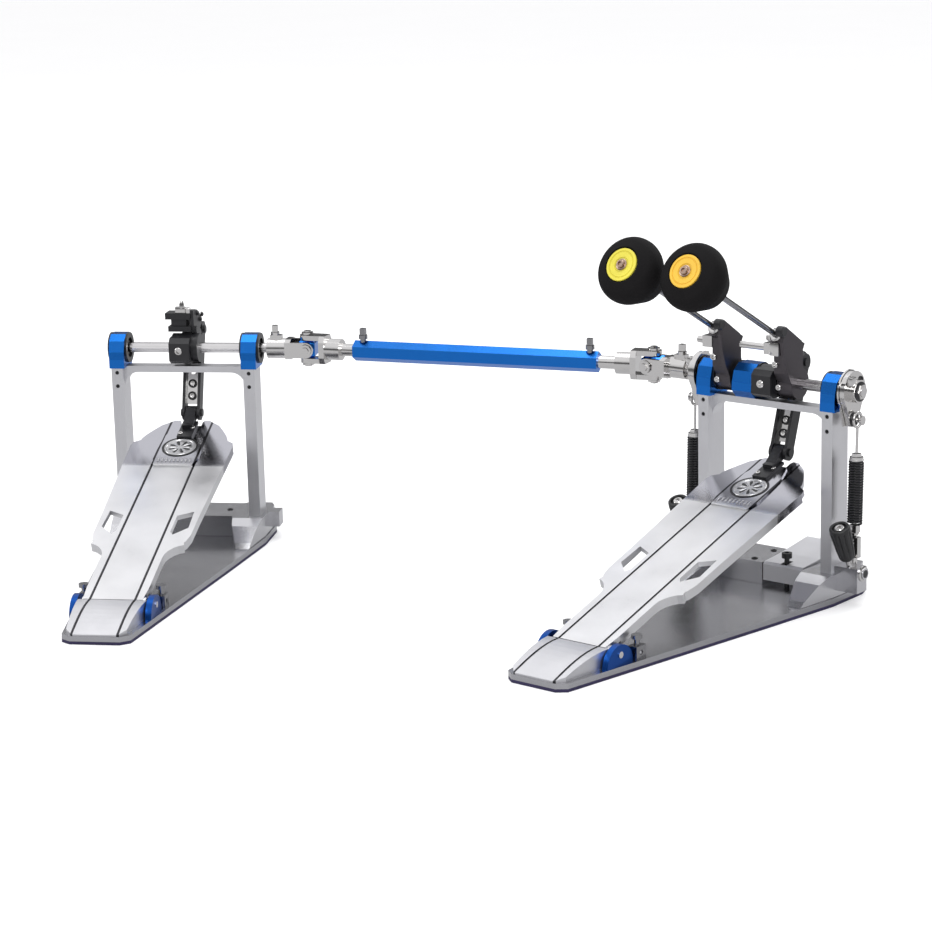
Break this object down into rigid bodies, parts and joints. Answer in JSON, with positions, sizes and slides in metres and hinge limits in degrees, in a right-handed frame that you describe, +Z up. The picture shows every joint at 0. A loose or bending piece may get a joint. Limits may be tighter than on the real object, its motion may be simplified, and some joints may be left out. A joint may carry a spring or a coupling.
{
  "type": "bass drum pedal",
  "caption": "Double bass drum pedal: hinged footboards turn twin beaters through drive cams, tension springs and a telescopic shaft with universal joints.",
  "frame": {"origin": "on the floor, below the middle of the main pedal's axle", "axes": "+X along the main axle to the right as the player sees it, +Y towards the drum, +Z up"},
  "size_m": [0.7959, 0.5911, 0.3589],
  "materials": {
    "satin_aluminium": "satin cast and machined aluminium",
    "mat_rubber": "ribbed dark rubber",
    "polished_aluminium": "brushed and polished plate",
    "navy_anodised": "navy anodised",
    "blue_anodised": "bright blue anodised",
    "bearing_steel": "black oxide steel with sealed faces",
    "black_metal": "black coated steel",
    "nickel_steel": "nickel plated steel",
    "dark_steel": "polished dark steel rod",
    "head_felt": "matt black moulded head",
    "orange_disc": "orange impact disc",
    "yellow_disc": "pale yellow impact disc",
    "spring_black": "black coated spring wire",
    "knob_plastic": "moulded black plastic"
  },
  "bodies": {
    "base": {"main_base": "satin_aluminium", "slave_base": "satin_aluminium", "base_mats": "mat_rubber", "heel_plates": "polished_aluminium", "main_frame": "satin_aluminium", "slave_frame": "satin_aluminium", "frame_screws": "black_metal", "hinge_blocks": "navy_anodised", "hinge_pins": "nickel_steel", "hinge_locks": "nickel_steel", "bearing_housings": "blue_anodised", "bearings": "bearing_steel", "spring_anchors": "nickel_steel"},
    "main_footboard": {"main_footboard": "polished_aluminium", "main_toe_clevis": "black_metal"},
    "main_link": {"main_link": "nickel_steel", "main_link_sides": "black_metal", "main_link_pins": "nickel_steel"},
    "right_axle": {"main_axle": "nickel_steel", "main_drive_cam": "black_metal", "right_beater_holder": "black_metal", "right_holder_screw": "nickel_steel", "right_rocker": "nickel_steel"},
    "right_beater": {"right_beater_shaft": "dark_steel", "right_beater_head": "head_felt", "right_beater_disc": "orange_disc"},
    "right_spring_lower": {"right_spring": "spring_black"},
    "right_spring_upper": {"right_spring_hook": "nickel_steel"},
    "left_axle": {"stub_axle": "nickel_steel", "left_beater_holder": "black_metal", "left_holder_screw": "nickel_steel", "left_rocker": "nickel_steel", "main_yoke": "nickel_steel"},
    "left_beater": {"left_beater_shaft": "dark_steel", "left_beater_head": "head_felt", "left_beater_disc": "yellow_disc"},
    "left_spring_lower": {"left_spring": "spring_black"},
    "left_spring_upper": {"left_spring_hook": "nickel_steel"},
    "right_knob": {"right_knob": "knob_plastic"},
    "left_knob": {"left_knob": "knob_plastic"},
    "hoop_jaw": {"hoop_jaw": "satin_aluminium", "hoop_pad": "mat_rubber"},
    "hoop_screw": {"hoop_screw": "nickel_steel"},
    "slave_footboard": {"slave_footboard": "polished_aluminium", "slave_toe_clevis": "black_metal"},
    "slave_link": {"slave_link": "nickel_steel", "slave_link_sides": "black_metal", "slave_link_pins": "nickel_steel"},
    "slave_axle": {"slave_axle": "nickel_steel", "slave_drive_cam": "black_metal", "slave_holder": "black_metal", "slave_yoke": "nickel_steel"},
    "slave_cross": {"slave_cross": "blue_anodised", "slave_cross_bolts": "nickel_steel"},
    "drive_shaft": {"slave_shaft_yoke": "nickel_steel", "drive_tube": "blue_anodised", "tube_screws": "nickel_steel", "main_shaft_yoke": "nickel_steel"},
    "main_cross": {"main_cross": "blue_anodised", "main_cross_bolts": "nickel_steel"}
  },
  "joints": [
    {"name": "right_beater_swing", "type": "hinge", "parent": "base", "child": "right_axle", "pos_m": [0, 0, 0.205], "axis": [-1, 0, 0], "range_deg": [0, 58]},
    {"name": "right_beater_height", "type": "slide", "parent": "right_axle", "child": "right_beater", "axis": [0, -0.8755, 0.4833], "range_m": [-0.015, 0.02]},
    {"name": "main_footboard_tilt", "type": "hinge", "parent": "base", "child": "main_footboard", "pos_m": [0, -0.3065, 0.018], "axis": [-1, 0, 0], "range_deg": [0, 7.65]},
    {"name": "main_link_swing", "type": "hinge", "parent": "main_footboard", "child": "main_link", "pos_m": [0, 0.01, 0.1335], "axis": [1, 0, 0], "range_deg": [0, 19.06]},
    {"name": "right_spring_tilt", "type": "hinge", "parent": "base", "child": "right_spring_lower", "pos_m": [0.092, -0.005, 0.062], "axis": [1, 0, 0], "range_deg": [0, 10.8]},
    {"name": "right_spring_stretch", "type": "slide", "parent": "right_spring_lower", "child": "right_spring_upper", "axis": [0, 0.0345, 0.9994], "range_m": [0, 0.01245], "deforming": ["right_spring"]},
    {"name": "slave_pedal_swing", "type": "hinge", "parent": "base", "child": "slave_axle", "pos_m": [-0.603, -0.191, 0.205], "axis": [-0.8572, -0.515, 0], "range_deg": [0, 58]},
    {"name": "slave_footboard_tilt", "type": "hinge", "parent": "base", "child": "slave_footboard", "pos_m": [-0.44514, -0.45372, 0.018], "axis": [-0.8572, -0.515, 0], "range_deg": [0, 7.65]},
    {"name": "slave_link_swing", "type": "hinge", "parent": "slave_footboard", "child": "slave_link", "pos_m": [-0.60815, -0.18243, 0.1335], "axis": [0.8572, 0.515, 0], "range_deg": [0, 19.06]},
    {"name": "slave_cross_swing", "type": "hinge", "parent": "slave_axle", "child": "slave_cross", "pos_m": [-0.492, -0.1243, 0.205], "axis": [-0.515, 0.8572, 0], "range_deg": [0, 10.39]},
    {"name": "drive_shaft_turn", "type": "hinge", "parent": "base", "child": "drive_shaft", "pos_m": [-0.492, -0.1243, 0.205], "axis": [-0.9423, -0.3347, 0], "range_deg": [0, 58.68]},
    {"name": "left_beater_swing", "type": "hinge", "parent": "base", "child": "left_axle", "pos_m": [0, 0, 0.205], "axis": [-1, 0, 0], "range_deg": [0, 56.73]},
    {"name": "main_cross_swing", "type": "hinge", "parent": "left_axle", "child": "main_cross", "pos_m": [-0.142, 0, 0.205], "axis": [0, -1, 0], "range_deg": [0, 17.37]},
    {"name": "left_beater_height", "type": "slide", "parent": "left_axle", "child": "left_beater", "axis": [0, -0.8755, 0.4833], "range_m": [-0.015, 0.02]},
    {"name": "left_spring_tilt", "type": "hinge", "parent": "base", "child": "left_spring_lower", "pos_m": [-0.092, -0.005, 0.062], "axis": [1, 0, 0], "range_deg": [0, 10.8]},
    {"name": "left_spring_stretch", "type": "slide", "parent": "left_spring_lower", "child": "left_spring_upper", "axis": [0, 0.0345, 0.9994], "range_m": [0, 0.01245], "deforming": ["left_spring"]},
    {"name": "right_knob_turn", "type": "hinge", "parent": "base", "child": "right_knob", "pos_m": [0.092, -0.012, 0.038], "axis": [0, -0.4226, 0.9063], "continuous": true},
    {"name": "left_knob_turn", "type": "hinge", "parent": "base", "child": "left_knob", "pos_m": [-0.092, -0.012, 0.038], "axis": [0, -0.4226, 0.9063], "continuous": true},
    {"name": "hoop_screw_turn", "type": "hinge", "parent": "base", "child": "hoop_screw", "pos_m": [0.023, -0.014, 0.038], "axis": [0, 0, -1], "range_deg": [0, 1330]},
    {"name": "hoop_jaw_close", "type": "hinge", "parent": "base", "child": "hoop_jaw", "pos_m": [0.023, 0.002, 0.02], "axis": [-1, 0, 0], "range_deg": [0, 11]}
  ],
  "couplings": [
    {"joint": "main_footboard_tilt", "follows": "right_beater_swing", "ratio": 0.1317},
    {"joint": "main_link_swing", "follows": "right_beater_swing", "ratio": 0.3285},
    {"joint": "right_spring_tilt", "follows": "right_beater_swing", "ratio": 0.186},
    {"joint": "right_spring_stretch", "follows": "right_beater_swing", "m_per_rad": 0.01228},
    {"joint": "slave_footboard_tilt", "follows": "slave_pedal_swing", "ratio": 0.1317},
    {"joint": "slave_link_swing", "follows": "slave_pedal_swing", "ratio": 0.3285},
    {"joint": "slave_cross_swing", "follows": "slave_pedal_swing", "ratio": 0.179},
    {"joint": "drive_shaft_turn", "follows": "slave_pedal_swing", "ratio": 1.0115},
    {"joint": "left_beater_swing", "follows": "slave_pedal_swing", "ratio": 0.978},
    {"joint": "main_cross_swing", "follows": "slave_pedal_swing", "ratio": 0.2993},
    {"joint": "left_spring_tilt", "follows": "slave_pedal_swing", "ratio": 0.1819},
    {"joint": "left_spring_stretch", "follows": "slave_pedal_swing", "m_per_rad": 0.01201},
    {"joint": "hoop_jaw_close", "follows": "hoop_screw_turn", "ratio": 0.00827}
  ]
}
